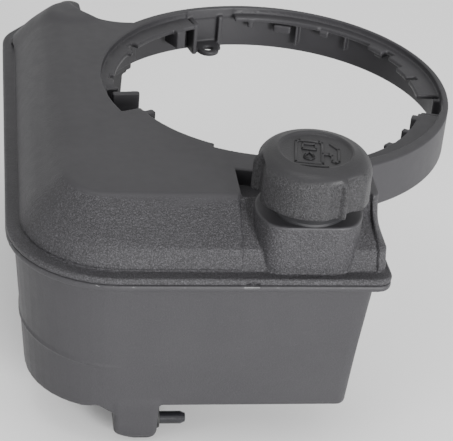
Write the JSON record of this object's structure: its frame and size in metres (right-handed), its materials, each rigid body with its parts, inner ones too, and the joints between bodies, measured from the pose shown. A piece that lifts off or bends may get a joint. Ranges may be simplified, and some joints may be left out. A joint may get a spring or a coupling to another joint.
{
  "type": "small engine fuel tank",
  "caption": "Fuel tank for a small engine, with a moulded ring round the starter, a filler neck with a screw cap, and a sump with an outlet spigot.",
  "frame": {"origin": "centre of the ring at the level of its rim", "axes": "+Z along the ring's axis, up; the filler neck is at -Y and the tank's long side at -X"},
  "size_m": [0.263, 0.3448, 0.181],
  "materials": {
    "tank_plastic": "dark charcoal moulded plastic, fine grain on the shoulders",
    "cap_plastic": "dark charcoal moulded plastic, grained sides",
    "insert_plastic": "grey moulded plastic",
    "spigot_plastic": "black glossy plastic",
    "seal_rubber": "black rubber",
    "white_plastic": "natural nylon",
    "screen_mesh": "fine wire cloth",
    "vent_foam": "open-cell foam"
  },
  "bodies": {
    "tank": {"upper_shell": "tank_plastic", "shroud_ring": "tank_plastic", "filler_neck": "tank_plastic", "lower_shell": "tank_plastic", "outlet_fitting": "spigot_plastic", "outlet_grommet": "seal_rubber", "strainer_frame": "white_plastic", "strainer_mesh": "screen_mesh"},
    "seal": {"cap_gasket": "seal_rubber"},
    "cap": {"cap_cover": "cap_plastic", "cap_insert": "insert_plastic", "vent_foam": "vent_foam", "vent_valve": "seal_rubber", "vent_retainer": "white_plastic"}
  },
  "joints": [
    {"name": "cap_lift", "type": "slide", "parent": "tank", "child": "seal", "axis": [0, 0, 1], "range_m": [0, 0.009]},
    {"name": "cap_turn", "type": "hinge", "parent": "seal", "child": "cap", "pos_m": [0.002, -0.143, 0], "axis": [0, 0, 1], "range_deg": [0, 540]}
  ],
  "couplings": [
    {"joint": "cap_lift", "follows": "cap_turn", "m_per_rad": 0.00095493}
  ]
}
